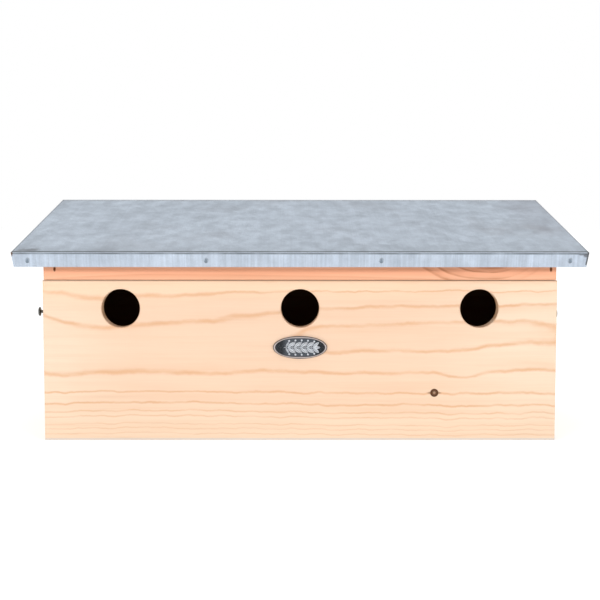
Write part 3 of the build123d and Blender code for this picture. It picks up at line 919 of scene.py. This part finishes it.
# Plain boards: the axis of their grain, where the pith of the log was in metres, and a seed
PLAIN_BOARDS = {
    "left_side": ("pine_left_side", 2, (-0.26, -0.03, 0), 0.1),
    "right_side": ("pine_right_side", 2, (0.25, 0.04, 0), 0.7),
    "back_board": ("pine_back", 0, (0, 0.15, 0.07), 0.5),
    "floor_board": ("pine_floor", 0, (0, 0.0, -0.05), 0.2),
    "left_partition": ("pine_left_partition", 2, (-0.12, 0.03, 0), 0.6),
    "right_partition": ("pine_right_partition", 2, (0.12, -0.02, 0), 0.9),
    "roof_board": ("pine_roof", 0, (0, 0.03, 0.10), 0.8),
    "left_cleat": ("pine_left_cleat", 2, (-0.17, -0.09, 0), 0.15),
    "right_cleat": ("pine_right_cleat", 2, (0.22, -0.09, 0), 0.35),
}
GALVANISED = (0.24, 0.29, 0.35)
DARK_STEEL = (0.10, 0.034, 0.011)
SCREW_STEEL = (0.13, 0.135, 0.13)
STAINED_STEEL = (0.05, 0.042, 0.036)


def clothe():
    """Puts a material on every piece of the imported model."""
    screw = plain_metal("screw_steel", SCREW_STEEL, 0.42)
    stained_screw = plain_metal("stained_screw_steel", STAINED_STEEL, 0.6, 0.5, 0.2)
    silver = badge_metal()
    wear = {
        "roof_sheet": zinc_sheet(),
        "front_board": front_board_pine(),
        "top_rail": rail_pine(),
        "rail_nails": plain_metal("dark_nail", DARK_STEEL, 0.7, 0.0, 0.1),
        "left_screw": screw,
        "right_screw": stained_screw,
        "badge": silver,
    }
    for name, board in PLAIN_BOARDS.items():
        wear[name] = pine_board(*board)
    galvanised = plain_metal("galvanised_nail", GALVANISED, 0.5)
    for name in ("flange_nails", "roof_nails", "side_nails", "back_nails", "floor_nails"):
        wear[name] = galvanised
    for name, material in wear.items():
        slots = nodes[name].data.materials
        if slots:
            for index in range(len(slots)):
                slots[index] = material
        else:
            slots.append(material)
    flange_nail_heads()
    threaded_screw("left_screw", -1, screw)
    threaded_screw("right_screw", 1, stained_screw)
    cast_badge(silver)


# Studio, in metres and watts

WORLD_LIGHT = 0.45
KEY_X, KEY_Y, KEY_Z = 1.1, -1.35, 0.40
KEY_AIM, KEY_SIZE = (0, 0, 0.12), (0.9, 0.16)
KEY_LEFT, KEY_RIGHT = 9.3, 8.3
KEY_COLOUR = (0.98, 1.0, 1.02)
ABOVE_PLACE, ABOVE_SIZE, ABOVE = (0, -0.1, 1.7), (2.4, 1.8), 17.0
FLOOR_HALF = 12.0
# Where the floor's glow starts to rise and ends, and how strong it is there
GLOW_REACH, GLOW = (0.2, 2.4), (0.36, 0.7)


def camera():
    """The camera at the photograph's viewing angle."""
    data = bpy.data.cameras.new("camera")
    data.sensor_width = SENSOR_WIDTH
    data.lens = FOCAL_PIXELS / FRAME_PIXELS * SENSOR_WIDTH
    data.clip_end = 50
    body = bpy.data.objects.new("camera", data)
    pitch, yaw, roll = (math.radians(v) for v in (CAMERA_PITCH, CAMERA_YAW, CAMERA_ROLL))
    turn = Matrix.Rotation(-yaw, 4, "Z") @ Matrix.Rotation(math.pi / 2 + pitch, 4, "X")
    turn = turn @ Matrix.Rotation(roll, 4, "Z")
    body.matrix_world = Matrix.Translation(CAMERA_PLACE) @ turn
    bpy.context.scene.collection.objects.link(body)
    bpy.context.scene.camera = body


def soft_light(name, place, aim, size, power, colour=(1, 1, 1)):
    """A rectangular soft light that looks from its place at a point."""
    data = bpy.data.lights.new(name, "AREA")
    data.shape = "RECTANGLE"
    data.size, data.size_y = size
    data.energy = power
    data.color = colour
    lamp = bpy.data.objects.new(name, data)
    lamp.location = place
    lamp.rotation_euler = (Vector(aim) - Vector(place)).to_track_quat("-Z", "Y").to_euler()
    bpy.context.scene.collection.objects.link(lamp)


def pale_floor():
    """A pale light table: it glows a little, so that it shows no edge against the white beyond."""
    g = Graph("pale_floor")
    speckle = g.noise(g.place, scale=40.0, detail=2.0)
    g.finish(g.shade((0.9, 0.9, 0.9), g.span(speckle, 0.3, 0.7, 0.995, 1.0)), 0.9)
    g.shader.inputs["Specular IOR Level"].default_value = 0.0
    x, y, _ = g.split(g.place)
    g.shader.inputs["Emission Color"].default_value = (1, 1, 1, 1)
    g.put(g.shader.inputs["Emission Strength"], g.span(g.length(x, y), *GLOW_REACH, *GLOW))
    mesh = bpy.data.meshes.new("pale_floor")
    corners = [(FLOOR_HALF * right, FLOOR_HALF * back, 0)
               for right, back in ((-1, -1), (1, -1), (1, 1), (-1, 1))]
    mesh.from_pydata(corners, [], [(0, 1, 2, 3)])
    mesh.materials.append(g.material)
    ground = bpy.data.objects.new("pale_floor", mesh)
    bpy.context.scene.collection.objects.link(ground)


def white_world():
    """White where the camera looks past the object, dimmer as a light on it."""
    world = bpy.data.worlds.new("studio")
    bpy.context.scene.world = world
    world.use_nodes = True
    tree = world.node_tree
    seen = tree.nodes["Background"]
    seen.inputs["Color"].default_value = (1, 1, 1, 1)
    seen.inputs["Strength"].default_value = 1.0
    lit = tree.nodes.new("ShaderNodeBackground")
    lit.inputs["Color"].default_value = (1, 1, 1, 1)
    lit.inputs["Strength"].default_value = WORLD_LIGHT
    path = tree.nodes.new("ShaderNodeLightPath")
    mix = tree.nodes.new("ShaderNodeMixShader")
    tree.links.new(path.outputs["Is Camera Ray"], mix.inputs[0])
    tree.links.new(lit.outputs[0], mix.inputs[1])
    tree.links.new(seen.outputs[0], mix.inputs[2])
    tree.links.new(mix.outputs[0], tree.nodes["World Output"].inputs["Surface"])


def studio():
    """The pale floor, the white world, two keys in front and a broad light above."""
    pale_floor()
    white_world()
    soft_light("key_left", (-KEY_X, KEY_Y, KEY_Z), KEY_AIM, KEY_SIZE, KEY_LEFT, KEY_COLOUR)
    soft_light("key_right", (KEY_X, KEY_Y, KEY_Z), KEY_AIM, KEY_SIZE, KEY_RIGHT, KEY_COLOUR)
    soft_light("above", ABOVE_PLACE, (0, 0, 0), ABOVE_SIZE, ABOVE)
    bpy.context.scene.view_settings.view_transform = "Standard"


clothe()
camera()
studio()
